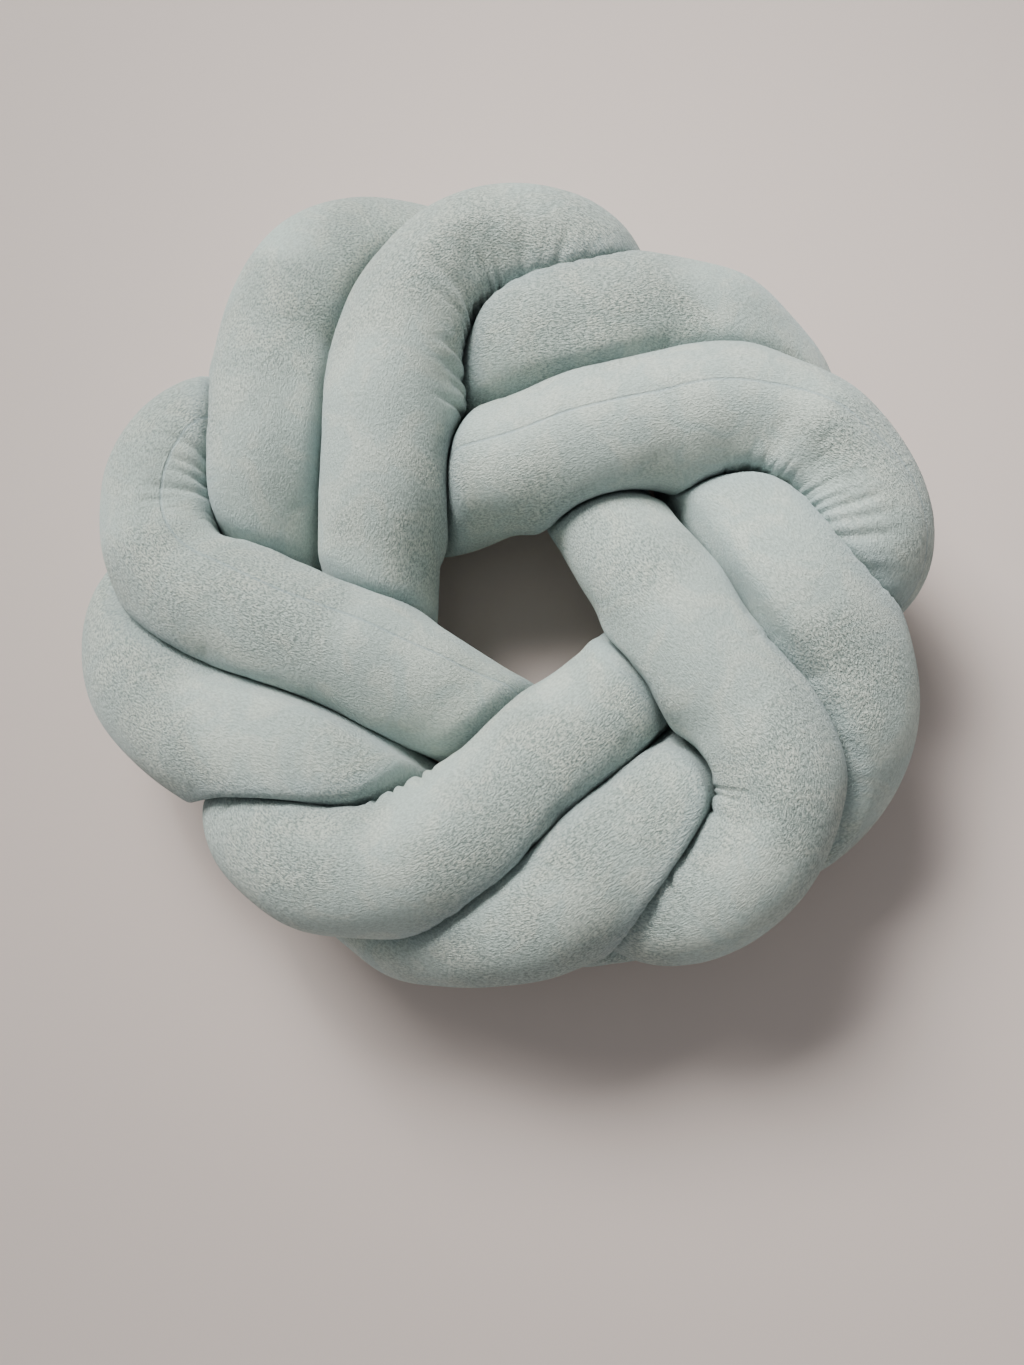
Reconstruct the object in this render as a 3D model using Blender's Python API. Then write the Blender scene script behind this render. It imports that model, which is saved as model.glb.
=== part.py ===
"""A knot cushion lying on its back: two stuffed tubes, side by side, tied in a flat ring of five lobes.

Each lobe comes up beside the open middle, runs out to the rim over the lobe after it, curls there
clockwise and dives under. Both tubes go twice round the middle, so that every lobe shows one
stretch of each. Height is measured from the floor, and bearing clockwise from straight up the
photo. Sizes are in millimetres and degrees until the mesh is made.
"""

import math

import bpy
import numpy as np

OBJECT_NAME = "knot_cushion"
LEADING = "leading_tube"
TRAILING = "trailing_tube"

# Driving sizes of the tubes
TUBE_ACROSS = 62.0  # a stuffed tube from side to side where nothing presses on it
TUBE_DEEP = 58.0  # and from top to bottom, as its own weight and the tying leave it
PRESSED_APART = 45.0  # centre lines this near push each other away
GAP = 0.5  # air left between two stretches of cloth
SHOULDER = 5.0  # the width over which a round side turns into a pressed one
CREVICE = 14.0  # beside a pressed side the stuffing swells into any room narrower than this
LAP = 4.0  # where two stretches cross, the upper keeps its shape this far past the middle surface
LAP_FROM = 12.0  # stretches whose centre lines differ less in height lie side by side
LAP_HEIGHT = 20.0  # and over this much more the lap grows to its full size
SLIM_BY_HOLE = 0.07  # the leading tube is this much slimmer where it is drawn round the open middle
LOWEST_CENTRE = 26.0  # centre line of a stretch that rests on the floor
LOBE_STEP = 72.0  # degrees from one lobe to the next
LOBES_PER_PASS = 2  # a tube that dives comes up again this many lobes on

# How finely the solids are cut
RINGS = 172
SIDES = 16
GUIDE_PER_STATION = 8
FRAME_REACH = 2  # a ring faces along the line between its neighbours this many rings off
PRESS_ROUNDS = 16
PRESS_SHARE = 0.5  # each round gives back this much of what still crosses into a neighbour
EVEN_ROUNDS = 3  # how often the swelling is evened out over the cloth
CLEAR_ROUNDS = 6
CLEAR_SHARE = 0.6  # each of those rounds draws the cloth in by this much of what is still short

# How the tubes settle against each other: in each round a point moves by these shares
SETTLE_ROUNDS = 220
PUSH_SHARE = 0.22  # of the way out of its nearest neighbour
PULL_SHARE = 0.25  # of the way back to its guide
BEND_SHARE = 0.05  # of the unevenness of its bend
EASE_SHARE = 0.12  # of a bend that is too tight
TIGHTEST_BEND = 36.0  # a stuffed tube folds no tighter than this, measured to its centre line
NEIGHBOUR_RUN = 84.0  # along one tube, stretches nearer than this can't press on each other

MM_PER_M = 1000.0
TINY = 1e-6  # keeps a division off zero

# The lobes in clockwise order. Each row says how far this lobe differs from the stations below.
# name, leading tube's reach beside the hole, at the crown and at the rim, how much further round
# it curls, trailing tube's reach beside the hole and at the rim, fullness of the two tubes
LOBES = (
    ("top_left", 0.0, 0.0, -3.0, -1.0, 11.0, 23.0, 1.08, 0.99),
    ("top_right", -6.0, -13.0, -8.0, 4.0, 1.0, -15.0, 1.10, 1.00),
    ("right", -4.0, -7.0, -2.0, -7.0, -4.0, -9.0, 0.96, 1.08),
    ("bottom", 15.0, 15.0, -17.0, -5.0, 14.0, -22.0, 1.04, 1.05),
    ("left", 0.0, 3.0, 4.0, -5.0, 4.0, 2.0, 1.02, 1.13),
)

# One pass of the tube that borders the hole, from its lowest place to where it dives again.
# station, bearing, reach, height, shares of the hole, crown and rim columns, hold
LEADING_STATIONS = (
    ("lowest", -121.0, 116.0, 28.0, 0.3, 0.0, 0.0, 0.4),
    ("under_inner_tube", -114.0, 92.0, 29.0, 0.8, 0.0, 0.0, 0.4),
    ("under_edge", -105.0, 75.0, 39.0, 1.0, 0.0, 0.0, 0.5),
    ("rises_by_hole", -93.0, 67.5, 51.0, 1.0, 0.0, 0.0, 0.8),
    ("beside_hole", -75.0, 65.5, 66.0, 1.0, 0.0, 0.0, 1.0),
    ("leaves_hole", -55.0, 72.0, 78.0, 0.6, 0.4, 0.0, 1.0),
    ("over_inner_tube", -40.0, 88.0, 83.0, 0.3, 0.8, 0.0, 1.0),
    ("crown", -30.0, 107.0, 86.0, 0.0, 1.0, 0.1, 1.0),
    ("over_outer_tube", -22.0, 128.0, 86.0, 0.0, 0.8, 0.3, 1.0),
    ("outer_chord", -15.0, 148.0, 85.0, 0.0, 0.4, 0.7, 1.0),
    ("starts_to_curl", -8.0, 163.0, 84.0, 0.0, 0.1, 0.9, 1.0),
    ("curl", -2.0, 170.0, 82.0, 0.0, 0.0, 1.0, 1.0),
    ("rim", 4.0, 173.0, 80.0, 0.0, 0.0, 1.0, 1.0),
    ("past_rim", 10.0, 172.0, 76.0, 0.0, 0.0, 1.0, 1.0),
    ("dives", 16.0, 165.0, 65.0, 0.0, 0.0, 0.7, 0.6),
    ("under_outer_tube", 19.5, 143.0, 42.0, 0.0, 0.0, 0.3, 0.3),
)

# One pass of the tube outside it, which tucks beneath it at the rim.
TRAILING_STATIONS = (
    ("lowest", -98.0, 143.0, 27.0, 0.3, 0.0, 0.0, 0.5),
    ("under_inner_tube", -88.0, 126.0, 43.0, 0.7, 0.0, 0.0, 0.5),
    ("comes_out", -77.0, 119.0, 61.0, 1.0, 0.0, 0.0, 0.7),
    ("rises", -66.0, 126.0, 71.0, 1.0, 0.0, 0.0, 1.0),
    ("over_inner_tube", -55.0, 139.0, 74.0, 0.7, 0.0, 0.2, 1.0),
    ("crown", -45.0, 155.0, 75.0, 0.5, 0.0, 0.45, 1.0),
    ("outer_chord", -38.0, 168.0, 73.0, 0.2, 0.0, 0.7, 1.0),
    ("starts_to_curl", -32.0, 178.0, 70.0, 0.0, 0.0, 0.9, 1.0),
    ("curl", -27.0, 183.0, 62.0, 0.0, 0.0, 0.95, 1.0),
    ("rim", -22.0, 185.0, 53.0, 0.0, 0.0, 1.0, 1.0),
    ("tucks_in", -16.0, 182.0, 43.0, 0.0, 0.0, 0.9, 1.0),
    ("beneath_curl", -6.0, 173.0, 32.0, 0.0, 0.0, 0.6, 0.8),
    ("beneath_rim", 4.0, 166.0, 28.0, 0.0, 0.0, 0.4, 0.7),
    ("beneath_dive", 14.0, 158.0, 26.0, 0.0, 0.0, 0.3, 0.8),
    ("turns_in", 25.0, 152.0, 26.0, 0.0, 0.0, 0.2, 0.8),
    ("under_next_tube", 36.0, 147.0, 26.0, 0.0, 0.0, 0.1, 0.7),
)

# Short-pile plush in dusty aqua, for both tubes
CLOTH_COLOUR = (0.50, 0.62, 0.63, 1.0)
CLOTH_ROUGHNESS = 0.9
CLOTH_METALLIC = 0.0


def clear_scene():
    """Removes whatever the scene holds."""
    for item in list(bpy.data.objects):
        bpy.data.objects.remove(item, do_unlink=True)


def station_rows(stations):
    """The stations of all passes in the order the tube meets them: place, hold and fullness."""
    rows = []
    for step in range(len(LOBES)):
        lobe = step * LOBES_PER_PASS % len(LOBES)
        _, hole, crown, rim, curl, outer_hole, outer_rim, full, outer_full = LOBES[lobe]
        shifts = (hole, crown, rim)
        slim = SLIM_BY_HOLE
        if stations is TRAILING_STATIONS:
            shifts = (outer_hole, 0.0, outer_rim)
            curl = 0.0
            full = outer_full
            slim = 0.0
        for _, bearing, reach, height, hole_share, crown_share, rim_share, hold in stations:
            turn = math.radians(lobe * LOBE_STEP + bearing + rim_share * curl)
            shares = (hole_share, crown_share, rim_share)
            out = reach + sum(share * shift for share, shift in zip(shares, shifts))
            width = full * (1.0 - slim * hole_share)
            rows.append((out * math.sin(turn), out * math.cos(turn), height, hold, width))
    return np.array(rows)


def smooth_loop(values, per_span):
    """A closed run of values filled in between its rows along a Catmull-Rom curve."""
    before = np.roll(values, 1, axis=0)
    after = np.roll(values, -1, axis=0)
    beyond = np.roll(values, -2, axis=0)
    along = (np.arange(per_span) / per_span)[None, :, None]
    row = (slice(None), None, slice(None))
    cubic = 3.0 * values - before - 3.0 * after + beyond
    square = 2.0 * before - 5.0 * values + 4.0 * after - beyond
    filled = values[row] + 0.5 * along * (
        (after - before)[row] + along * (square[row] + along * cubic[row])
    )
    return filled.reshape(-1, values.shape[1])


def evenly_spaced(values, count):
    """The closed run again with count rows at equal distances, measured on its first three columns."""
    closed = np.vstack([values, values[:1]])
    steps = np.linalg.norm(np.diff(closed[:, :3], axis=0), axis=1)
    run = np.concatenate([[0.0], np.cumsum(steps)])
    wanted = np.linspace(0.0, run[-1], count, endpoint=False)
    columns = [np.interp(wanted, run, closed[:, k]) for k in range(values.shape[1])]
    return np.stack(columns, axis=1)


def guide_line(stations):
    """The centre line that the stations ask for, with each point's hold and fullness beside it."""
    return evenly_spaced(smooth_loop(station_rows(stations), GUIDE_PER_STATION), RINGS)


def loop_length(line):
    """The length of a closed line."""
    return np.linalg.norm(line - np.roll(line, -1, axis=0), axis=1).sum()


def far_along(count, length):
    """For each pair of points on one loop, whether enough tube lies between them for a press."""
    index = np.arange(count)
    steps = np.abs(index[:, None] - index[None, :])
    steps = np.minimum(steps, count - steps)
    return steps * length / count > NEIGHBOUR_RUN


def pressing(lines):
    """For each line, which of its points (rows) can press on which points of all lines (columns)."""
    masks = []
    for k, line in enumerate(lines):
        row = [np.ones((len(line), len(other)), bool) for other in lines]
        row[k] = far_along(len(line), loop_length(line))
        masks.append(np.hstack(row))
    return masks


def settle(guides):
    """The centre lines after the tubes have pushed each other apart, with the fullness of each point.

    In each round every point is pushed off the points of other stretches that are nearer than
    PRESSED_APART, pulled back to its guide by its hold, and evened out so that no bend is sharp.
    """
    lines = [guide[:, :3] for guide in guides]
    masks = pressing(lines)
    for _ in range(SETTLE_ROUNDS):
        everything = np.vstack(lines)
        moved = []
        for line, guide, mask in zip(lines, guides, masks):
            away = line[:, None, :] - everything[None, :, :]
            apart = np.linalg.norm(away, axis=2)
            short = np.where(mask, np.clip(PRESSED_APART - apart, 0.0, None), 0.0)
            away = away / np.maximum(apart, 1.0)[:, :, None]
            nearest = short.max(axis=1, keepdims=True)
            shares = short / np.maximum(short.sum(axis=1, keepdims=True), TINY)
            push = (away * shares[:, :, None]).sum(axis=1) * nearest
            curve = np.roll(line, 1, axis=0) + np.roll(line, -1, axis=0) - 2.0 * line
            evening = np.roll(curve, 1, axis=0) + np.roll(curve, -1, axis=0) - 2.0 * curve
            pull = guide[:, 3:4] * (guide[:, :3] - line)
            spacing = loop_length(line) / len(line)
            bend = np.linalg.norm(curve, axis=1, keepdims=True) / spacing**2
            ease = EASE_SHARE * np.clip(TIGHTEST_BEND * bend - 1.0, 0.0, 1.0) * curve
            step = PUSH_SHARE * push + PULL_SHARE * pull - BEND_SHARE * evening + ease
            step[:, 2] = np.maximum(step[:, 2], LOWEST_CENTRE - line[:, 2])
            moved.append(line + step)
        lines = moved
    filled = [np.column_stack([line, guide[:, 4]]) for line, guide in zip(lines, guides)]
    return [evenly_spaced(row, RINGS) for row in filled]


def ring_frames(line):
    """At each point of a closed line, the unit vectors along it, to its left and upwards across it."""
    along = np.roll(line, -FRAME_REACH, axis=0) - np.roll(line, FRAME_REACH, axis=0)
    along /= np.linalg.norm(along, axis=1, keepdims=True)
    left = np.cross(np.array([0.0, 0.0, 1.0]), along)
    left /= np.linalg.norm(left, axis=1, keepdims=True)
    return along, left, np.cross(along, left)


def smooth_step(values):
    """0 below 0, 1 above 1, and a soft S between."""
    share = np.clip(values, 0.0, 1.0)
    return share * share * (3.0 - 2.0 * share)


def lap(higher):
    """How far a stretch keeps its shape past the middle surface, by how much higher it lies."""
    return np.sign(higher) * LAP * smooth_step((np.abs(higher) - LAP_FROM) / LAP_HEIGHT)


def room_to_loops(points, owners, lines, mask):
    """How far each point may be from its own line, and how far it is.

    Side by side, two stretches share the space evenly. Where one crosses over the other, the upper
    keeps its round shape a little past the middle and the lower gives way.
    """
    starts = np.vstack(lines)
    ends = np.vstack([np.roll(line, -1, axis=0) for line in lines])
    spans = ends - starts
    lengths = (spans * spans).sum(axis=1)
    to_point = points[:, None, :] - starts[None, :, :]
    share = np.clip((to_point * spans[None]).sum(axis=2) / lengths[None], 0.0, 1.0)
    gap = np.linalg.norm(to_point - share[:, :, None] * spans[None], axis=2)
    height = starts[None, :, 2] + share * spans[None, :, 2]
    presses = mask[owners]
    own = np.where(presses, np.inf, gap)
    nearest = own.argmin(axis=1)
    rows = np.arange(len(points))
    higher = height[rows, nearest][:, None] - height
    room = np.where(presses, gap + 2.0 * lap(higher), np.inf).min(axis=1)
    return room, own[rows, nearest]


def soft_smaller(a, b, width):
    """The smaller of two values, with the corner between them rounded over a width."""
    return np.minimum(a, b) - np.clip(width - np.abs(a - b), 0.0, None) ** 2 / (4.0 * width)


def side_turns():
    """The angle of each side round the tube, from straight up towards the left."""
    return np.arange(SIDES) * 2.0 * math.pi / SIDES


def ring_directions(line):
    """The outward unit vectors of each ring."""
    _, left, up = ring_frames(line)
    turns = side_turns()
    across = np.cos(turns)[None, :, None] * up[:, None, :]
    return across + np.sin(turns)[None, :, None] * left[:, None, :]


def free_reach(fullness):
    """How far the cloth would stand from its centre line in each direction with nothing beside it."""
    turns = side_turns()
    oval = np.hypot(np.sin(turns) / (TUBE_ACROSS / 2.0), np.cos(turns) / (TUBE_DEEP / 2.0))
    return fullness[:, None] / oval[None, :]


def crevice_swell(room):
    """How far the cloth swells past its free shape, given the room to the next tube over the grid.

    It takes up a narrow room and leaves a wide one alone, and is evened out over the cloth.
    """
    swell = np.clip(room, 0.0, None) * (1.0 - smooth_step(room / CREVICE))
    for _ in range(EVEN_ROUNDS):
        for axis in (0, 1):
            beside = np.roll(swell, 1, axis=axis) + np.roll(swell, -1, axis=axis)
            swell = 0.5 * swell + 0.25 * beside
    return swell


def pressed_reach(line, fullness, lines, mask, outward):
    """How far the cloth stands from its centre line each way, once its neighbours press on it.

    Where two stretches meet, each gives way up to a surface between their centre lines.
    Below, the floor cuts the reach off flat.
    """
    count, sides = outward.shape[:2]
    free = free_reach(fullness).reshape(-1)
    owners = np.repeat(np.arange(count), sides)
    centres = np.repeat(line, sides, axis=0)
    rays = outward.reshape(-1, 3)
    room = free + CREVICE
    for _ in range(PRESS_ROUNDS):
        allowed, _ = room_to_loops(centres + rays * room[:, None], owners, lines, mask)
        room = room - PRESS_SHARE * np.clip(room + GAP - allowed, 0.0, None)
    swell = crevice_swell((room - free).reshape(count, sides)).reshape(-1)
    reach = soft_smaller(free + swell, room, SHOULDER)
    down = np.maximum(-rays[:, 2], TINY)
    return np.minimum(reach, centres[:, 2] / down).reshape(count, sides)


def around_each_face(values):
    """For each point of a tube's grid, the values of the four faces that meet there."""
    back = np.roll(values, 1, axis=0)
    return np.stack([values, back, np.roll(values, 1, axis=1), np.roll(back, 1, axis=1)])


def face_middles(grid):
    """For each face of a tube's grid, the middles of its two diagonals and of two of its edges.

    Then come the middles of its four triangles, two for each way it may be cut.
    """
    onward = np.roll(grid, -1, axis=0)
    beside = np.roll(grid, -1, axis=1)
    across = np.roll(onward, -1, axis=1)
    halves = np.stack([grid + onward, grid + beside, grid + across, onward + beside]) / 2.0
    corners = grid + onward + beside + across
    thirds = np.stack([corners - corner for corner in (grid, onward, beside, across)]) / 3.0
    return np.concatenate([halves, thirds])


def clear_faces(line, lines, mask, outward, reach):
    """The reach drawn in until the flat faces between its points stand clear of the next stretch."""
    count, sides = reach.shape
    for _ in range(CLEAR_ROUNDS):
        middles = face_middles(line[:, None, :] + outward * reach[:, :, None])
        owners = np.tile(np.repeat(np.arange(count), sides), len(middles))
        middles = middles.reshape(-1, 3)
        allowed, own = room_to_loops(middles, owners, lines, mask)
        short = np.clip(own + GAP - allowed, 0.0, None).reshape(-1, count, sides).max(axis=0)
        reach = reach - CLEAR_SHARE * around_each_face(short).max(axis=0)
    return reach


def tube_surfaces(settled):
    """For each settled line its grid of surface points, RINGS by SIDES."""
    lines = [row[:, :3] for row in settled]
    masks = pressing(lines)
    grids = []
    for line, row, mask in zip(lines, settled, masks):
        outward = ring_directions(line)
        reach = pressed_reach(line, row[:, 3], lines, mask, outward)
        reach = clear_faces(line, lines, mask, outward, reach)
        grids.append(line[:, None, :] + outward * reach[:, :, None])
    return grids


def grid_faces(rings, sides):
    """The four-sided faces of a closed tube, facing outward."""
    ring = np.arange(rings)[:, None]
    side = np.arange(sides)[None, :]
    here = ring * sides + side
    onward = (ring + 1) % rings * sides + side
    return np.stack(
        [
            here,
            onward,
            (ring + 1) % rings * sides + (side + 1) % sides,
            ring * sides + (side + 1) % sides,
        ],
        axis=2,
    ).reshape(-1, 4)


def cloth_material(name):
    """The plush of one tube."""
    material = bpy.data.materials.new(name + "_plush")
    material.use_nodes = True
    shader = material.node_tree.nodes["Principled BSDF"]
    shader.inputs["Base Color"].default_value = CLOTH_COLOUR
    shader.inputs["Roughness"].default_value = CLOTH_ROUGHNESS
    shader.inputs["Metallic"].default_value = CLOTH_METALLIC
    return material


def add_tube(name, grid, collection):
    """One closed tube as a mesh object, in metres."""
    mesh = bpy.data.meshes.new(name)
    faces = grid_faces(grid.shape[0], grid.shape[1])
    mesh.from_pydata((grid.reshape(-1, 3) / MM_PER_M).tolist(), [], faces.tolist())
    mesh.update()
    mesh.polygons.foreach_set("use_smooth", [True] * len(mesh.polygons))
    mesh.materials.append(cloth_material(name))
    item = bpy.data.objects.new(name, mesh)
    collection.objects.link(item)
    return item


def centred(grids):
    """The grids moved so that the middle of their box's bottom is the origin."""
    points = np.vstack([grid.reshape(-1, 3) for grid in grids])
    low = points.min(axis=0)
    high = points.max(axis=0)
    middle = np.array([(low[0] + high[0]) / 2.0, (low[1] + high[1]) / 2.0, low[2]])
    return [grid - middle for grid in grids], middle


def main():
    clear_scene()
    collection = bpy.data.collections.new(OBJECT_NAME)
    bpy.context.scene.collection.children.link(collection)
    lines = settle([guide_line(LEADING_STATIONS), guide_line(TRAILING_STATIONS)])
    grids, _ = centred(tube_surfaces(lines))
    for name, grid in zip((LEADING, TRAILING), grids):
        add_tube(name, grid, collection)


main()
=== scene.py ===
# %% [markdown]
# # A plush knot cushion
# Two long stuffed tubes of short-pile plush lie side by side and are tied in a flat ring of
# five lobes round an open middle. The packed frame holds a plain solid for each tube. This
# lesson makes the cloth itself: where it presses flat, where it gathers, its sewn seam and its
# brushed pile.

# %% The frame
import math

import bpy
import numpy as np
from mathutils import Matrix, Vector


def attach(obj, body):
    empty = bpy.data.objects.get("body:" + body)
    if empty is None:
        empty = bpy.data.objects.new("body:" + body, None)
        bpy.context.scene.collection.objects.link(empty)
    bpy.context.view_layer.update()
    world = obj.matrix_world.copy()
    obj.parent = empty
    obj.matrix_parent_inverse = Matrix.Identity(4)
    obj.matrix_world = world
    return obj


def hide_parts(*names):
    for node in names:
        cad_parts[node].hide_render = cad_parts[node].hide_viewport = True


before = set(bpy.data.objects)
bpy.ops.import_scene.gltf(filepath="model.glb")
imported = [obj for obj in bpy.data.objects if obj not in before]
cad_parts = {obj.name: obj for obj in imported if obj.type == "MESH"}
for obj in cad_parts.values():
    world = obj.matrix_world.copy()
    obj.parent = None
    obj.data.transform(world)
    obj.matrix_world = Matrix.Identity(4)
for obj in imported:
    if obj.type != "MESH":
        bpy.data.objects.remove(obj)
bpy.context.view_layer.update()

MM = 0.001

# %% [markdown]
# ## The way the tubes run
# A tied tube is a line with thickness, so the line comes first. It could be drawn by hand as a
# curve, but five lobes that differ a little are easier to keep true as a table: one pass of
# each tube by its bearing, reach and height, and one row for each lobe that says how it
# differs. These are the same named stations that the solids were made from, in millimetres and
# degrees.

# %% Sizes and tables of the knot
TUBES = ("leading", "trailing")
TUBE_ACROSS = 62.0
TUBE_DEEP = 58.0
SLIM_BY_HOLE = 0.07  # a leading tube is thinner by this share beside the hole
LOBE_STEP = 72.0  # degrees from one lobe to the next
LOBES_PER_PASS = 2  # a tube comes up again this many lobes on

# name, leading tube's reach beside the hole, at the crown and at the rim, how much further round
# it curls, trailing tube's reach beside the hole and at the rim, fullness of the two tubes
LOBES = (
    ("top_left", 0.0, 0.0, -3.0, -1.0, 11.0, 23.0, 1.08, 0.99),
    ("top_right", -6.0, -13.0, -8.0, 4.0, 1.0, -15.0, 1.10, 1.00),
    ("right", -4.0, -7.0, -2.0, -7.0, -4.0, -9.0, 0.96, 1.08),
    ("bottom", 15.0, 15.0, -17.0, -5.0, 14.0, -22.0, 1.04, 1.05),
    ("left", 0.0, 3.0, 4.0, -5.0, 4.0, 2.0, 1.02, 1.13),
)

# station, bearing, reach, height, shares of the hole, crown and rim columns, hold
LEADING_STATIONS = (
    ("lowest", -121.0, 116.0, 28.0, 0.3, 0.0, 0.0, 0.4),
    ("under_inner_tube", -114.0, 92.0, 29.0, 0.8, 0.0, 0.0, 0.4),
    ("under_edge", -105.0, 75.0, 39.0, 1.0, 0.0, 0.0, 0.5),
    ("rises_by_hole", -93.0, 67.5, 51.0, 1.0, 0.0, 0.0, 0.8),
    ("beside_hole", -75.0, 65.5, 66.0, 1.0, 0.0, 0.0, 1.0),
    ("leaves_hole", -55.0, 72.0, 78.0, 0.6, 0.4, 0.0, 1.0),
    ("over_inner_tube", -40.0, 88.0, 83.0, 0.3, 0.8, 0.0, 1.0),
    ("crown", -30.0, 107.0, 86.0, 0.0, 1.0, 0.1, 1.0),
    ("over_outer_tube", -22.0, 128.0, 86.0, 0.0, 0.8, 0.3, 1.0),
    ("outer_chord", -15.0, 148.0, 85.0, 0.0, 0.4, 0.7, 1.0),
    ("starts_to_curl", -8.0, 163.0, 84.0, 0.0, 0.1, 0.9, 1.0),
    ("curl", -2.0, 170.0, 82.0, 0.0, 0.0, 1.0, 1.0),
    ("rim", 4.0, 173.0, 80.0, 0.0, 0.0, 1.0, 1.0),
    ("past_rim", 10.0, 172.0, 76.0, 0.0, 0.0, 1.0, 1.0),
    ("dives", 16.0, 165.0, 65.0, 0.0, 0.0, 0.7, 0.6),
    ("under_outer_tube", 19.5, 143.0, 42.0, 0.0, 0.0, 0.3, 0.3),
)
TRAILING_STATIONS = (
    ("lowest", -98.0, 143.0, 27.0, 0.3, 0.0, 0.0, 0.5),
    ("under_inner_tube", -88.0, 126.0, 43.0, 0.7, 0.0, 0.0, 0.5),
    ("comes_out", -77.0, 119.0, 61.0, 1.0, 0.0, 0.0, 0.7),
    ("rises", -66.0, 126.0, 71.0, 1.0, 0.0, 0.0, 1.0),
    ("over_inner_tube", -55.0, 139.0, 74.0, 0.7, 0.0, 0.2, 1.0),
    ("crown", -45.0, 155.0, 75.0, 0.5, 0.0, 0.45, 1.0),
    ("outer_chord", -38.0, 168.0, 73.0, 0.2, 0.0, 0.7, 1.0),
    ("starts_to_curl", -32.0, 178.0, 70.0, 0.0, 0.0, 0.9, 1.0),
    ("curl", -27.0, 183.0, 62.0, 0.0, 0.0, 0.95, 1.0),
    ("rim", -22.0, 185.0, 53.0, 0.0, 0.0, 1.0, 1.0),
    ("tucks_in", -16.0, 182.0, 43.0, 0.0, 0.0, 0.9, 1.0),
    ("beneath_curl", -6.0, 173.0, 32.0, 0.0, 0.0, 0.6, 0.8),
    ("beneath_rim", 4.0, 166.0, 28.0, 0.0, 0.0, 0.4, 0.7),
    ("beneath_dive", 14.0, 158.0, 26.0, 0.0, 0.0, 0.3, 0.8),
    ("turns_in", 25.0, 152.0, 26.0, 0.0, 0.0, 0.2, 0.8),
    ("under_next_tube", 36.0, 147.0, 26.0, 0.0, 0.0, 0.1, 0.7),
)
STATIONS = {"leading": LEADING_STATIONS, "trailing": TRAILING_STATIONS}
print(len(LOBES), "lobes with", [len(STATIONS[tube]) for tube in TUBES], "stations a pass")

# %% [markdown]
# Each tube passes all five lobes before it closes, so its line is a loop through five times as
# many stations. Blender's own curves could join them, but the next steps push the line about
# point by point. So a Catmull-Rom curve, which runs through every station, is worked out here,
# and its points are then set at equal distances, as rings of cloth stand.

# %% Lines through the stations
RINGS = 172
GUIDE_PER_STATION = 8


def station_rows(stations):
    """The stations of all passes in the order the tube meets them: place, hold and fullness."""
    rows = []
    for step in range(len(LOBES)):
        lobe = step * LOBES_PER_PASS % len(LOBES)
        _, hole, crown, rim, curl, outer_hole, outer_rim, full, outer_full = LOBES[lobe]
        shifts = (hole, crown, rim)
        slim = SLIM_BY_HOLE
        if stations is TRAILING_STATIONS:
            shifts = (outer_hole, 0.0, outer_rim)
            curl = 0.0
            full = outer_full
            slim = 0.0
        for _, bearing, reach, height, hole_share, crown_share, rim_share, hold in stations:
            turn = math.radians(lobe * LOBE_STEP + bearing + rim_share * curl)
            shares = (hole_share, crown_share, rim_share)
            out = reach + sum(share * shift for share, shift in zip(shares, shifts))
            width = full * (1.0 - slim * hole_share)
            rows.append((out * math.sin(turn), out * math.cos(turn), height, hold, width))
    return np.array(rows)


def smooth_loop(values, per_span):
    """A closed run of values filled in between its rows along a Catmull-Rom curve."""
    before = np.roll(values, 1, axis=0)
    after = np.roll(values, -1, axis=0)
    beyond = np.roll(values, -2, axis=0)
    along = (np.arange(per_span) / per_span)[None, :, None]
    row = (slice(None), None, slice(None))
    cubic = 3.0 * values - before - 3.0 * after + beyond
    square = 2.0 * before - 5.0 * values + 4.0 * after - beyond
    filled = values[row] + 0.5 * along * (
        (after - before)[row] + along * (square[row] + along * cubic[row])
    )
    return filled.reshape(-1, values.shape[1])


def run_along(points):
    """The distance from the first point to each point of a closed line, and once round."""
    closed = np.vstack([points, points[:1]])
    steps = np.linalg.norm(np.diff(closed, axis=0), axis=1)
    return np.concatenate([[0.0], np.cumsum(steps)])


def evenly_spaced(values, count):
    """The closed run again with count rows at equal distances, measured on columns 1 to 3."""
    run = run_along(values[:, :3])
    closed = np.vstack([values, values[:1]])
    wanted = np.linspace(0.0, run[-1], count, endpoint=False)
    columns = [np.interp(wanted, run, closed[:, k]) for k in range(values.shape[1])]
    return np.stack(columns, axis=1)


def guide_line(stations):
    """The centre line that the stations ask for, with each point's hold and fullness beside it."""
    return evenly_spaced(smooth_loop(station_rows(stations), GUIDE_PER_STATION), RINGS)


guides = [guide_line(STATIONS[tube]) for tube in TUBES]
print("guides are", [round(run_along(guide[:, :3])[-1]) for guide in guides], "mm round")

# %% [markdown]
# ## Settling the two tubes against each other
# A stuffed tube can't lie in another one. Blender's physics could push two meshes apart, but
# slowly and with a result that changes with its settings. Here each centre line is pushed off
# the stretches that come nearer than a pressed tube's thickness, pulled back to its guide, and
# kept from kinking.

# %% Settling
PRESSED_APART = 45.0  # mm between the lines of two tubes that press on each other
LOWEST_CENTRE = 26.0  # mm over the floor
TIGHTEST_BEND = 36.0  # mm, the radius below which a line is eased
NEIGHBOUR_RUN = 84.0  # stretches of a tube nearer than this along it don't press, mm
SETTLE_ROUNDS = 220
PUSH_SHARE = 0.22
PULL_SHARE = 0.25
BEND_SHARE = 0.05
EASE_SHARE = 0.12
TINY = 1e-6


def loop_length(line):
    """The length of a closed line."""
    return run_along(line)[-1]


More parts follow.
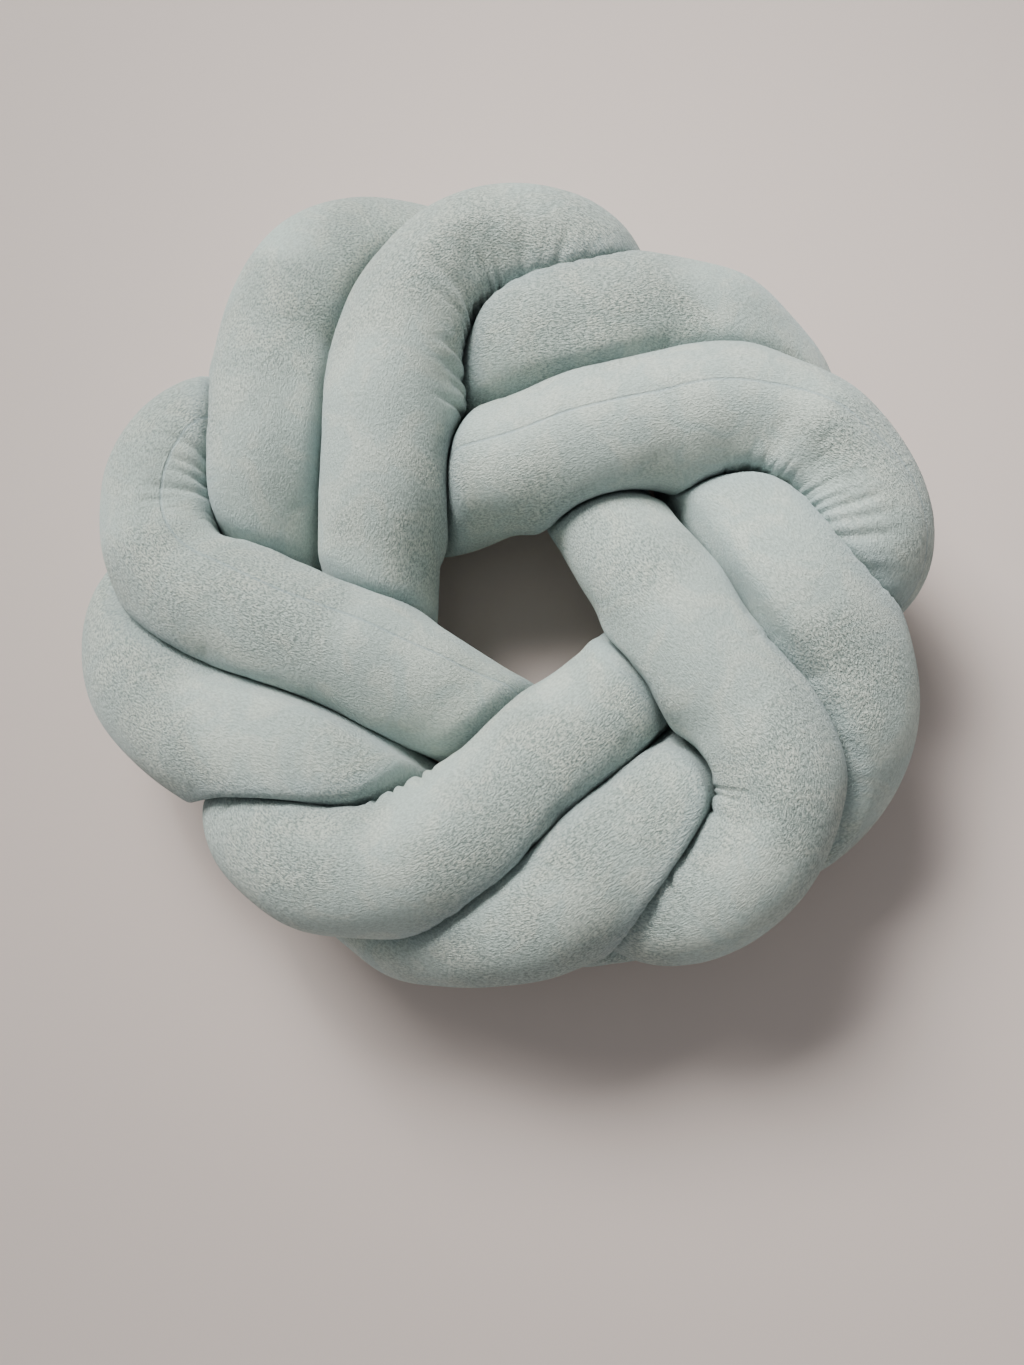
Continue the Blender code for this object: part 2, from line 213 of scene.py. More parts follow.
def pressing(lines):
    """For each line, which of its points (rows) can press on which of all points (columns)."""
    masks = []
    for k, line in enumerate(lines):
        count = len(line)
        steps = np.abs(np.arange(count)[:, None] - np.arange(count)[None, :])
        steps = np.minimum(steps, count - steps)
        row = [np.ones((count, len(other)), bool) for other in lines]
        row[k] = steps * loop_length(line) / count > NEIGHBOUR_RUN
        masks.append(np.hstack(row))
    return masks


def settle(guides):
    """Centre lines pushed apart, pulled back and evened out in turn, with their fullness."""
    lines = [guide[:, :3] for guide in guides]
    masks = pressing(lines)
    for _ in range(SETTLE_ROUNDS):
        everything = np.vstack(lines)
        moved = []
        for line, guide, mask in zip(lines, guides, masks):
            away = line[:, None, :] - everything[None, :, :]
            apart = np.linalg.norm(away, axis=2)
            short = np.where(mask, np.clip(PRESSED_APART - apart, 0.0, None), 0.0)
            away = away / np.maximum(apart, 1.0)[:, :, None]
            nearest = short.max(axis=1, keepdims=True)
            shares = short / np.maximum(short.sum(axis=1, keepdims=True), TINY)
            push = (away * shares[:, :, None]).sum(axis=1) * nearest
            curve = np.roll(line, 1, axis=0) + np.roll(line, -1, axis=0) - 2.0 * line
            evening = np.roll(curve, 1, axis=0) + np.roll(curve, -1, axis=0) - 2.0 * curve
            pull = guide[:, 3:4] * (guide[:, :3] - line)
            spacing = loop_length(line) / len(line)
            bend = np.linalg.norm(curve, axis=1, keepdims=True) / spacing**2
            ease = EASE_SHARE * np.clip(TIGHTEST_BEND * bend - 1.0, 0.0, 1.0) * curve
            step = PUSH_SHARE * push + PULL_SHARE * pull - BEND_SHARE * evening + ease
            step[:, 2] = np.maximum(step[:, 2], LOWEST_CENTRE - line[:, 2])
            moved.append(line + step)
        lines = moved
    filled = [np.column_stack([line, guide[:, 4]]) for line, guide in zip(lines, guides)]
    return [evenly_spaced(row, RINGS) for row in filled]


settled = settle(guides)
centre_lines = [row[:, :3] for row in settled]
press_masks = pressing(centre_lines)
for tube, line in zip(TUBES, centre_lines):
    print(tube, "tube is", round(loop_length(line)), "mm round")

# %% [markdown]
# ## The cloth round the lines
# Round each line stands an oval of cloth. Where two stretches meet, both give way up to the
# surface midway between their lines, and the stuffing that is pressed away fills the crevices
# beside the press. Where one lies higher, it keeps its round shape and the lower one gives
# way, so that its edge runs on unbroken over the other. A boolean cut would leave sharp rims;
# here the distance from the line is worked out as a smooth function of the place along the
# tube and the turn round it, which also keeps every point's address on the cloth for the
# gathers and the seam.

# %% Directions round a line
def turns_round(sides):
    """The turns of a ring's points in radians, from straight up."""
    return np.arange(sides) * 2.0 * math.pi / sides


def ring_directions(line, sides, reach):
    """The outward unit vectors of each ring of a closed line, from straight up towards the left.

    A ring stands across the way between the points that lie reach rows before and after it.
    """
    along = np.roll(line, -reach, axis=0) - np.roll(line, reach, axis=0)
    along /= np.linalg.norm(along, axis=1, keepdims=True)
    left = np.cross(np.array([0.0, 0.0, 1.0]), along)
    left /= np.linalg.norm(left, axis=1, keepdims=True)
    up = np.cross(along, left)
    turns = turns_round(sides)
    across = np.cos(turns)[None, :, None] * up[:, None, :]
    return across + np.sin(turns)[None, :, None] * left[:, None, :]


outward = ring_directions(centre_lines[0], 4, 1)
print("where the leading tube is lowest its cloth faces", outward[0].round(2).tolist())

# %% [markdown]
# How much room a point of the cloth has depends on how near the next stretch of tube lies, and
# on which of the two lies higher. Blender could measure it with ray casts or a proximity node,
# but the lines are at hand, so the distance to each of their straight pieces is worked out for
# thousands of points at a time.

# %% Room beside the line
LAP = 4.0  # mm that the upper of two crossed tubes keeps beyond the middle surface
LAP_FROM = 12.0  # it starts where one lies this much higher, mm
LAP_HEIGHT = 20.0  # and is whole this much higher still
LAP_SEARCH = 3.0 * LAP  # a stretch farther off than its own line by more than this can't press
CHUNK = 4000  # points whose distances are worked out at one time


def smooth_step(values):
    """0 below 0, 1 above 1, and a soft S between."""
    share = np.clip(values, 0.0, 1.0)
    return share * share * (3.0 - 2.0 * share)


def lap(higher):
    """How far, in mm, the upper of two pressed tubes keeps its shape beyond the middle surface."""
    return np.sign(higher) * LAP * smooth_step((np.abs(higher) - LAP_FROM) / LAP_HEIGHT)


def room_to_lines(points, owners, own):
    """How far each point may be from its own stretch of tube, and how far it is.

    owners says by row of the settled line own which point each belongs to. For each straight piece
    of every line the foot of the perpendicular is kept within the piece's ends. Side by side, two
    stretches share the space evenly; the upper of two that cross laps over the lower.
    """
    starts = np.vstack(centre_lines).astype(np.float32)
    onward = [np.roll(line, -1, axis=0) for line in centre_lines]
    ends = np.vstack(onward).astype(np.float32)
    spans = ends - starts
    lengths = (spans * spans).sum(axis=1)
    mask = press_masks[own]
    room = np.empty(len(points), np.float32)
    same = np.empty(len(points), np.float32)
    for first in range(0, len(points), CHUNK):
        part = slice(first, first + CHUNK)
        there = points[part].astype(np.float32)
        dots = there @ spans.T - (starts * spans).sum(axis=1)[None]
        share = np.clip(dots / lengths[None], 0.0, 1.0)
        to_start = (
            (there * there).sum(axis=1)[:, None]
            - 2.0 * there @ starts.T
            + (starts * starts).sum(axis=1)[None]
        )
        square = to_start - 2.0 * share * dots + share * share * lengths[None]
        gap = np.sqrt(np.maximum(square, 0.0))
        height = starts[:, 2][None] + share * spans[:, 2][None]
        presses = mask[owners[part]]
        rows = np.arange(len(there))
        nearest = np.where(presses, np.inf, gap).argmin(axis=1)
        same[part] = gap[rows, nearest]
        higher = height[rows, nearest][:, None] - height
        near = presses & (gap < same[part][:, None] + LAP_SEARCH)
        lapped = np.full(gap.shape, np.inf, np.float32)
        lapped[near] = gap[near] + 2.0 * lap(higher[near])
        room[part] = np.minimum(lapped.min(axis=1), gap.max())
    return room, same


def owners_of(rings, sides):
    """For each point of a grid, the row of the settled line that its ring stands on."""
    return np.repeat(np.arange(rings) * RINGS // rings, sides)


print("a tube that lies 30 mm higher laps by", round(float(lap(30.0)), 1), "mm")

# %% [markdown]
# The press is then found in rounds: each point starts beyond its oval and is drawn in by half
# of what it overlaps, until it stands clear. Where the oval meets the press, the corner is
# rounded as stuffed cloth does it, and in a narrow crevice the cloth swells a little beyond
# its oval.

# %% Pressed cloth
GAP = 0.5  # mm between two pressed tubes
SHOULDER = 4.0  # mm over which the corner beside a press is rounded
CREVICE = 14.0  # mm, the room up to which the cloth swells into it
PRESS_ROUNDS = 16
PRESS_SHARE = 0.5
EVEN_ROUNDS = (6, 4)  # along the tube and round it
LAID_OUT = 2  # points laid out along the line for each ring that is kept
TANGENT_ROWS = 2  # settled rows before and after a ring that set its direction
CLOTH_RINGS = 700
CLOTH_SIDES = 64


def soft_smaller(a, b, width):
    """The smaller of two values, with the corner between them rounded over a width."""
    return np.minimum(a, b) - np.clip(width - np.abs(a - b), 0.0, None) ** 2 / (4.0 * width)


def crevice_swell(room):
    """How far the cloth swells into a narrow room to the next tube, evened out over the cloth."""
    swell = np.clip(room, 0.0, None) * (1.0 - smooth_step(room / CREVICE))
    for axis, rounds in enumerate(EVEN_ROUNDS):
        for _ in range(rounds):
            beside = np.roll(swell, 1, axis=axis) + np.roll(swell, -1, axis=axis)
            swell = 0.5 * swell + 0.25 * beside
    return swell


def pressed_grid(own, rings, sides):
    """The cloth of one tube as a grid of points, with the centre line and directions it stands on.

    The free section is an oval. Along each direction the room ends where the point is as near to
    another stretch as to its own line, less half a gap. The floor cuts the reach off flat.
    """
    rows = evenly_spaced(smooth_loop(settled[own], math.ceil(rings / RINGS) * LAID_OUT), rings)
    line = rows[:, :3]
    outward = ring_directions(line, sides, round(TANGENT_ROWS * rings / RINGS))
    turns = turns_round(sides)
    oval = np.hypot(np.sin(turns) / (TUBE_ACROSS / 2.0), np.cos(turns) / (TUBE_DEEP / 2.0))
    free = (rows[:, 3:4] / oval[None, :]).reshape(-1)
    owners = owners_of(rings, sides)
    centres = np.repeat(line, sides, axis=0)
    rays = outward.reshape(-1, 3)
    room = free + CREVICE
    for _ in range(PRESS_ROUNDS):
        allowed, _ = room_to_lines(centres + rays * room[:, None], owners, own)
        room = room - PRESS_SHARE * np.clip(room + GAP - allowed, 0.0, None)
    swell = crevice_swell((room - free).reshape(rings, sides)).reshape(-1)
    reach = soft_smaller(free + swell, room, SHOULDER)
    down = np.maximum(-rays[:, 2], TINY)
    reach = np.minimum(reach, centres[:, 2] / down).reshape(rings, sides)
    return line, outward, reach


def cloth_points(line, outward, reach):
    """The points of a tube's cloth: out from its line in each direction by their reach."""
    return line[:, None, :] + outward * reach[:, :, None]


start_cloth = [pressed_grid(own, CLOTH_RINGS, CLOTH_SIDES) for own in range(len(TUBES))]
for tube, (_, _, reach) in zip(TUBES, start_cloth):
    nearest, farthest = round(reach.min(), 1), round(reach.max(), 1)
    print(tube, "cloth stands", nearest, "to", farthest, "mm off its line")

# %% [markdown]
# ## Letting the cloth relax
# A real tube is sewn straight and is bent only when it is tied, so its inner bends hold spare
# cloth and its outer bends are taut. Folds could all be placed by hand, but Blender's cloth
# finds the wide soft ones by itself: the tied shape is its start, a straight tube is the shape
# its springs remember, and a little pressure stands for the stuffing. It runs for a few
# frames, and no point may go far.

# %% The tube as it was sewn
FINER_AROUND = 2
OUTER_SIDE = 95  # the percentile of a ring's steps on the outer side of its bend


def grid_faces(rings, sides, closed=True):
    """The four-sided faces of a tube's grid, facing outward.

    A closed tube's last ring is joined to its first.
    """
    ring = np.arange(rings if closed else rings - 1)[:, None]
    side = np.arange(sides)[None, :]
    onward = (ring + 1) % rings
    beside = (side + 1) % sides
    near = [ring * sides + side, ring * sides + beside]
    far = [onward * sides + side, onward * sides + beside]
    return np.stack([near[0], far[0], far[1], near[1]], axis=2).reshape(-1, 4)


def finer_around(grid):
    """A closed grid of values with new ones filled in between its columns."""
    turned = np.swapaxes(grid, 0, 1)
    around = smooth_loop(turned.reshape(len(turned), -1), FINER_AROUND)
    return np.swapaxes(around.reshape(-1, *turned.shape[1:]), 0, 1)


def straight_tube(grid, own):
    """The tube as it was sewn, on a straight line.

    Its rings stand as far apart as they do on the outer side of each bend.
    """
    steps = np.linalg.norm(np.diff(grid, axis=0), axis=2)
    run = np.concatenate([[0.0], np.cumsum(np.percentile(steps, OUTER_SIDE, axis=1))])
    turns = turns_round(grid.shape[1])
    full = settled[own][:, 3].mean() / 2.0
    flat = np.zeros_like(grid)
    flat[:, :, 0] = run[:, None]
    flat[:, :, 1] = TUBE_ACROSS * full * np.sin(turns)[None, :]
    flat[:, :, 2] = TUBE_DEEP * full * np.cos(turns)[None, :]
    return flat


for own, tube in enumerate(TUBES):
    sewn_tube = straight_tube(cloth_points(*start_cloth[own]), own)
    print(tube, "tube was sewn", round(float(np.ptp(sewn_tube[:, :, 0]))), "mm long")

# %% [markdown]
# The cloth is a modifier on a helper mesh. Collisions are off, because the tubes are pressed
# already and each point may move only a few millimetres. What is kept is how far each point
# moved, so the helper and its modifier are removed again.

# %% The cloth simulation
CLOTH_FRAMES = 12
CLOTH_QUALITY = 3
CLOTH_PRESSURE = 20.0
CLOTH_MASS = 0.0001
CLOTH_BENDING = 0.002
CLOTH_HOLD = 0.002  # how firmly the stuffing holds each point in its place, from 0 to 1
FARTHEST_MOVE = 3.5  # mm, for each point that the springs join


def relaxed(own, grid):
    """How far each point of a closed grid moves, in mm, when its cloth relaxes for a few frames.

    The springs join every second point round the tube, and the points between go with them.
    """
    grid = grid[:, ::FINER_AROUND]
    opened = np.concatenate([grid, grid[:1]])
    rings, sides = opened.shape[:2]
    mesh = bpy.data.meshes.new("relaxing_cloth")
    faces = grid_faces(rings, sides, closed=False)
    mesh.from_pydata((opened.reshape(-1, 3) * MM).tolist(), [], faces.tolist())
    item = bpy.data.objects.new("relaxing_cloth", mesh)
    bpy.context.scene.collection.objects.link(item)
    item.shape_key_add(name="tied")
    sewn = item.shape_key_add(name="sewn")
    sewn.data.foreach_set("co", (straight_tube(opened, own) * MM).ravel())
    held = item.vertex_groups.new(name="held")
    held.add(list(range(sides, (rings - 1) * sides)), CLOTH_HOLD, "REPLACE")
    ends = list(range(sides)) + list(range((rings - 1) * sides, rings * sides))
    held.add(ends, 1.0, "REPLACE")
    cloth = item.modifiers.new("cloth", "CLOTH")
    cloth.collision_settings.use_collision = False
    cloth.point_cache.frame_start = 1
    cloth.point_cache.frame_end = CLOTH_FRAMES
    cloth.settings.rest_shape_key = sewn
    cloth.settings.vertex_group_mass = "held"
    cloth.settings.use_pressure = True
    cloth.settings.uniform_pressure_force = CLOTH_PRESSURE
    cloth.settings.effector_weights.gravity = 0.0
    cloth.settings.quality = CLOTH_QUALITY
    cloth.settings.mass = CLOTH_MASS
    cloth.settings.bending_stiffness = CLOTH_BENDING
    for frame_number in range(1, CLOTH_FRAMES + 1):
        bpy.context.scene.frame_set(frame_number)
    ready = item.evaluated_get(bpy.context.evaluated_depsgraph_get())
    places = np.empty(rings * sides * 3, np.float32)
    ready.data.vertices.foreach_get("co", places)
    bpy.data.objects.remove(item)
    bpy.data.meshes.remove(mesh)
    bpy.context.scene.frame_set(1)
    moved = (places.reshape(rings, sides, 3) / MM - opened)[:-1]
    far = np.linalg.norm(moved, axis=2, keepdims=True)
    moved = moved * np.minimum(1.0, FARTHEST_MOVE / np.maximum(far, TINY))
    return finer_around(moved)


moves = []
for own, (line, outward, reach) in enumerate(start_cloth):
    grid = cloth_points(line, outward, reach)
    moves.append(relaxed(own, grid))
    print(TUBES[own], "cloth moved up to", round(float(np.abs(moves[-1]).max()), 1), "mm")

# %% [markdown]
# ## Gathers
# On the inner side of each curl the spare cloth draws up in many narrow folds, which fan out
# over the tube and fade. They are finer than the simulated cloth, so they are laid on
# afterwards. Each row of the table is one run of gathers: where it starts and ends along the
# tube, how far apart and how deep the folds are, and up to what turn round the tube they reach
# at its two ends.

# %% Gathers and single folds
# tube, first, last, pitch, depth and half width of a fold, lower turn, upper turn at both ends
GATHERS = (
    ("leading", 168.0, 222.0, 6.0, 3.6, 1.4, -150.0, -42.0, -45.0),
    ("leading", 222.0, 268.0, 6.0, 3.6, 1.4, -150.0, -40.0, -20.0),
    ("leading", 212.0, 326.0, 10.0, 1.3, 2.4, -130.0, 0.0, 75.0),
    ("leading", 297.0, 361.0, 5.5, 2.0, 1.3, -150.0, 10.0, 60.0),
    ("leading", 1404.0, 1461.0, 6.0, 2.0, 1.2, -150.0, -45.0, -15.0),
    ("leading", 1461.0, 1528.0, 5.2, 2.6, 1.1, -150.0, 0.0, 60.0),
    ("leading", 1528.0, 1570.0, 5.5, 2.2, 1.1, -150.0, 70.0, 110.0),
    ("leading", 630.0, 660.0, 11.0, 3.2, 1.5, -130.0, 0.0, -25.0),
    ("leading", 667.0, 692.0, 9.0, 1.2, 1.6, -130.0, -15.0, -10.0),
    ("leading", 692.0, 757.0, 6.5, 2.2, 1.3, -150.0, 25.0, 90.0),
    ("leading", 1755.0, 1824.0, 7.5, 3.0, 1.4, -150.0, -42.0, -40.0),
    ("leading", 1818.0, 1860.0, 12.0, 1.0, 2.6, -130.0, 5.0, 20.0),
    ("leading", 1860.0, 1909.0, 6.5, 2.0, 1.3, -150.0, 45.0, 90.0),
    ("leading", 987.0, 1049.0, 10.0, 0.9, 1.8, -130.0, -50.0, -40.0),
    ("leading", 1055.0, 1103.0, 8.0, 2.2, 1.5, -130.0, -5.0, 30.0),
    ("leading", 1103.0, 1157.0, 6.5, 2.2, 1.3, -150.0, 45.0, 90.0),
    ("trailing", 223.0, 298.0, 8.0, 1.5, 1.5, -130.0, -40.0, -20.0),
    ("trailing", 669.0, 739.0, 8.0, 1.4, 1.5, -130.0, -45.0, -20.0),
    ("trailing", 1101.0, 1170.0, 8.0, 1.5, 1.5, -130.0, -30.0, -20.0),
    ("trailing", 1532.0, 1602.0, 8.0, 1.4, 1.5, -130.0, -45.0, -20.0),
    ("trailing", 1944.0, 2018.0, 8.0, 1.4, 1.5, -130.0, -45.0, -20.0),
)
FOLD_CROWN = 0.5  # the cloth between two folds stands proud by this share of their depth
FOLD_LEAN = 4.0  # how far a fold may lean along the tube from end to end, mm
FADE_TURN = 38.0  # degrees over which a fold fades out
FAN_OUT = 0.6  # a fold is wider by this share at its upper end
# by chance: a fold's place in shares of the pitch, its share of the depth, how many degrees its
# upper end strays, and its share of the width
STRAYS = (-0.3, 0.3)
DEPTHS = (0.55, 1.25)
ENDS = (-18.0, 12.0)
WIDTHS = (0.8, 1.4)
FOLD_SEED = 5


def gathers(tube, run, turn, length):
    """The height of the gathers in mm, at distances along the tube and turns round it.

    Each fold is a valley 1 / (1 + (x / width) squared) across, between low rounded crowns.
    """
    rng = np.random.default_rng(FOLD_SEED)
    height = np.zeros(np.broadcast(run, turn).shape)
    for name, first, last, pitch, depth, half, lower, upper_first, upper_last in GATHERS:
        count = max(1, round((last - first) / pitch))
        for number in range(count):
            share = (number + 0.5 + rng.uniform(*STRAYS)) / count
            deep = depth * rng.uniform(*DEPTHS)
            upper = upper_first + share * (upper_last - upper_first) + rng.uniform(*ENDS)
            width = half * rng.uniform(*WIDTHS)
            lean = rng.uniform(-1.0, 1.0) * FOLD_LEAN
            if name != tube:
                continue
            risen = (turn - lower) / (upper - lower)
            place = first + share * (last - first) + lean * risen
            off = (run - place + length / 2.0) % length - length / 2.0
            fades_in = smooth_step((turn - lower) / FADE_TURN)
            reach = smooth_step((upper - turn) / FADE_TURN) * fades_in
            spread = width * (1.0 + FAN_OUT * smooth_step(risen))
            valley = 1.0 / (1.0 + (off / spread) ** 2)
            crown = FOLD_CROWN * np.exp(-((off / pitch) ** 2))
            height += deep * reach * (crown - valley)
    return height


print(len(GATHERS), "runs of gathers, the deepest", max(row[4] for row in GATHERS), "mm")

# %% [markdown]
# ## Uneven stuffing and the sewn seam
# Loose filling never lies quite evenly, so each tube swells and sinks by about a millimetre
# over some centimetres: a coarse table of chance heights, drawn out smooth. The tube is closed
# by one lengthwise seam that shows on two lobes. It pulls the cloth in along a narrow groove.

# %% Uneven stuffing and seam
STUFFING_HEIGHT = 0.7  # mm
STUFFING_SEED = 11
STUFFING_SPAN = (20, 16)  # rings along and sides round for each chance height
SEAM_DEPTH = 0.7  # mm
SEAM_WIDTH = 2.6  # mm
# distance along the tube, turn of the seam from straight up towards the left
SEAMS = {
    "leading": (
        (0.0, 190.0), (178.0, 185.0), (287.0, 170.0), (415.0, 200.0), (594.0, 215.0),
        (712.0, 250.0), (791.0, 290.0), (880.0, 326.0), (958.0, 330.0), (1014.0, 330.0),
        (1098.0, 345.0), (1187.0, 352.0), (1290.0, 365.0), (1334.0, 365.0), (1370.0, 361.0),
        (1414.0, 366.0), (1440.0, 375.0), (1457.0, 385.0), (1469.0, 398.0), (1504.0, 425.0),
        (1583.0, 480.0), (1682.0, 520.0), (1800.0, 535.0), (1937.0, 550.0),
    ),
    "trailing": ((0.0, 190.0), (496.0, 175.0), (1091.0, 195.0), (1686.0, 170.0), (2161.0, 190.0)),
}


def stuffing(rings, sides, seed):
    """Smooth chance heights over a tube's grid: a coarse table, filled in along both ways."""
    rng = np.random.default_rng(seed)
    per_ring, per_side = STUFFING_SPAN
    coarse = rng.normal(0.0, 1.0, (rings // per_ring, sides // per_side))
    filled = smooth_loop(smooth_loop(coarse, per_ring).T, per_side).T
    return STUFFING_HEIGHT * filled


def seam_turn(tube, run):
    """The turn of the seam at distances along the tube, read from its table."""
    places, turns = np.array(SEAMS[tube]).T
    return np.interp(run, places, turns)


print("stuffing swells by up to", round(float(stuffing(400, 64, STUFFING_SEED).max()), 1), "mm")

# %% [markdown]
# ## The finished cloth
# The relaxed cloth, the gathers, the stuffing and the seam are added up on a grid with three
# rings for each one of the start, because the folds are narrow. Some points may then have
# strayed into a neighbour or the floor. Each is drawn back along its own direction by half of
# what it overlaps, as the neighbour gives way by the other half.

# %% Adding it up
MEAN_RADIUS = (TUBE_ACROSS + TUBE_DEEP) / 4.0
FINER_ALONG = 3
CLEAR_ROUNDS = 2
CLEAR_AIR = 0.15  # mm between two pressed cloths, on each side
FINE_RINGS = CLOTH_RINGS * FINER_ALONG
FINE_SIDES = CLOTH_SIDES


def finer_along(grid):
    """A closed grid of values with new ones filled in between its rows."""
    return smooth_loop(grid.reshape(len(grid), -1), FINER_ALONG).reshape(-1, *grid.shape[1:])


def finished_grid(own):
    """One tube's finished cloth in mm: its points, the way round from the seam and the room."""
    tube = TUBES[own]
    line, outward, reach = start_cloth[own]
    grid = finer_along(cloth_points(line, outward, reach) + moves[own])
    rays = finer_along(outward)
    rays /= np.linalg.norm(rays, axis=2, keepdims=True)
    length = loop_length(line)
    run = (np.arange(FINE_RINGS) * length / FINE_RINGS)[:, None]
    turn = (np.arange(FINE_SIDES) * 360.0 / FINE_SIDES)[None, :]
    turn = np.where(turn > 180.0, turn - 360.0, turn)
    off_seam = (turn - seam_turn(tube, run) + 180.0) % 360.0 - 180.0
    around = np.radians(off_seam) * MEAN_RADIUS
    groove = SEAM_DEPTH * np.exp(-((around / SEAM_WIDTH) ** 2))
    height = gathers(tube, run, turn, length) - groove
    height += stuffing(FINE_RINGS, FINE_SIDES, STUFFING_SEED + own)
    grid = grid + rays * height[:, :, None]
    owners = owners_of(FINE_RINGS, FINE_SIDES)
    flat_rays = rays.reshape(-1, 3)
    points = grid.reshape(-1, 3)
    for _ in range(CLEAR_ROUNDS):
        allowed, same = room_to_lines(points, owners, own)
        short = np.clip(same + 2.0 * CLEAR_AIR - allowed, 0.0, None) / 2.0
        points = points - flat_rays * short[:, None]
    points[:, 2] = np.maximum(points[:, 2], 0.0)
    allowed, same = room_to_lines(points, owners, own)
    nearness = np.clip((allowed - same).reshape(FINE_RINGS, FINE_SIDES), 0.0, None)
    print(tube, "closest cloth", round(float(nearness.min()), 2), "mm off the middle surface")
    return points.reshape(FINE_RINGS, FINE_SIDES, 3), around, nearness


cloths = [finished_grid(own) for own in range(len(TUBES))]

# %% [markdown]
# ## The two meshes
# The grids become meshes whose rows and columns follow the cloth, so each point knows how far
# it lies from the seam and from the tube's start. That pair is laid down as a UV map in metres,
# for the sewn line and the lie of the pile. How deep each point lies in a crevice goes along as
# an attribute, for the painted shade there. Both could be painted by hand, but worked out they
# fit every fold.

# %% Cloth meshes
OPEN_MIDDLE = np.array([10.365, -15.623, 0.0])  # the knot's middle in mm, in the frame


def cloth_mesh(name, grid, around):
    """A closed tube's mesh from its grid of points in mm, with a UV map in metres."""
    rings, sides = grid.shape[:2]
    faces = grid_faces(rings, sides)
    mesh = bpy.data.meshes.new(name)
    mesh.vertices.add(rings * sides)
    mesh.vertices.foreach_set("co", ((grid + OPEN_MIDDLE) * MM).ravel())
    mesh.loops.add(faces.size)
    mesh.loops.foreach_set("vertex_index", faces.ravel())
    mesh.polygons.add(len(faces))
    mesh.polygons.foreach_set("loop_start", np.arange(0, faces.size, 4))
    mesh.update(calc_edges=True)
    mesh.polygons.foreach_set("use_smooth", np.ones(len(faces), bool))
    corner_around = around.ravel()[faces]
    whole = 2.0 * math.pi * MEAN_RADIUS
    first = corner_around[:, :1]
    corner_around = first + (corner_around - first + whole / 2.0) % whole - whole / 2.0
    corner_ring = faces // sides
    corner_ring = np.where(corner_ring < corner_ring[:, :1], rings, corner_ring)
    length = loop_length(grid.mean(axis=1))
    uv = np.stack([corner_around, corner_ring * length / rings], axis=2) * MM
    mesh.uv_layers.new(name="cloth").data.foreach_set("uv", uv.ravel())
    assert not mesh.validate()
    piece = bpy.data.objects.new(name, mesh)
    bpy.context.scene.collection.objects.link(piece)
    return piece


def point_attribute(piece, name, values):
    """A number for each point of the piece, for its material to read."""
    layer = piece.data.attributes.new(name, "FLOAT", "POINT")
    layer.data.foreach_set("value", values.ravel().astype(np.float32))


pieces = []
for tube, (grid, around, nearness) in zip(TUBES, cloths):
    piece = cloth_mesh(tube + "_tube_cloth", grid, around)
    # how deep each point lies in a crease: the mask for the painted shade there
    point_attribute(piece, "crevice", 1.0 - smooth_step(nearness / CREVICE))
    pieces.append(piece)
    print(piece.name, len(piece.data.vertices), "points")

# %% [markdown]
# ## Short-pile plush
# The plush is knitted cloth with a pile of a millimetre or two that stands nearly upright.
# Fingers have brushed it into paler and darker patches, each as wide as a thumb, and close to
# it the pile shows as short streaks. Real hairs would cost millions of strands, so the pile is
# a grain in colour and bump along the cloth, with a sheen for the light that the pile tips
# catch. Its nodes are written as sums: the class below turns each step of a sum into a node.

# %% A small class for the nodes
class Wire:
    """An output of a node, with arithmetic that adds a Math node for each step."""

    def __init__(self, tree, socket=None):
        self.tree = tree
        self.socket = socket

    def node(self, kind, settings, sockets, output=0):
        """A node of any kind in the same tree, and a wire from one of its outputs.

        Its settings are set first, and then its sockets are given values or wires.
        """
        node = self.tree.nodes.new(kind)
        for name, value in settings.items():
            setattr(node, name, value)
        for name, value in sockets.items():
            if isinstance(value, Wire):
                self.tree.links.new(value.socket, node.inputs[name])
            else:
                node.inputs[name].default_value = value
        return Wire(self.tree, node.outputs[output] if node.outputs else None)

    def maths(self, operation, first, second):
        """A Math node on two values or wires."""
        return self.node("ShaderNodeMath", {"operation": operation}, {0: first, 1: second})

    def __add__(self, other):
        return self.maths("ADD", self, other)

    def __radd__(self, other):
        return self.maths("ADD", other, self)

    def __sub__(self, other):
        return self.maths("SUBTRACT", self, other)

    def __rsub__(self, other):
        return self.maths("SUBTRACT", other, self)

    def __mul__(self, other):
        return self.maths("MULTIPLY", self, other)

    def __rmul__(self, other):
        return self.maths("MULTIPLY", other, self)

    def __abs__(self):
        return self.node("ShaderNodeMath", {"operation": "ABSOLUTE"}, {0: self})

    def between(self, low, high):
        """0 at low, 1 at high, with a smooth step between."""
        sockets = {"Value": self, "From Min": low, "From Max": high}
        return self.node("ShaderNodeMapRange", {"interpolation_type": "SMOOTHSTEP"}, sockets)

    def blend(self, first, second):
        """One colour turning into another as this share goes from 0 to 1."""
        sockets = {0: self, 6: first, 7: second}
        return self.node("ShaderNodeMix", {"data_type": "RGBA"}, sockets, output=2)

    def noise(self, scale, detail, roughness=0.5, distortion=0.0):
        """Blender's noise at this place, about 0 to 1 round 0.5, at a scale in patches a metre."""
        sockets = {"Vector": self, "Scale": scale, "Detail": detail, "Roughness": roughness}
        sockets["Distortion"] = distortion
        return self.node("ShaderNodeTexNoise", {}, sockets)


print("a wire knows", [name for name in vars(Wire) if not name.startswith("_")])
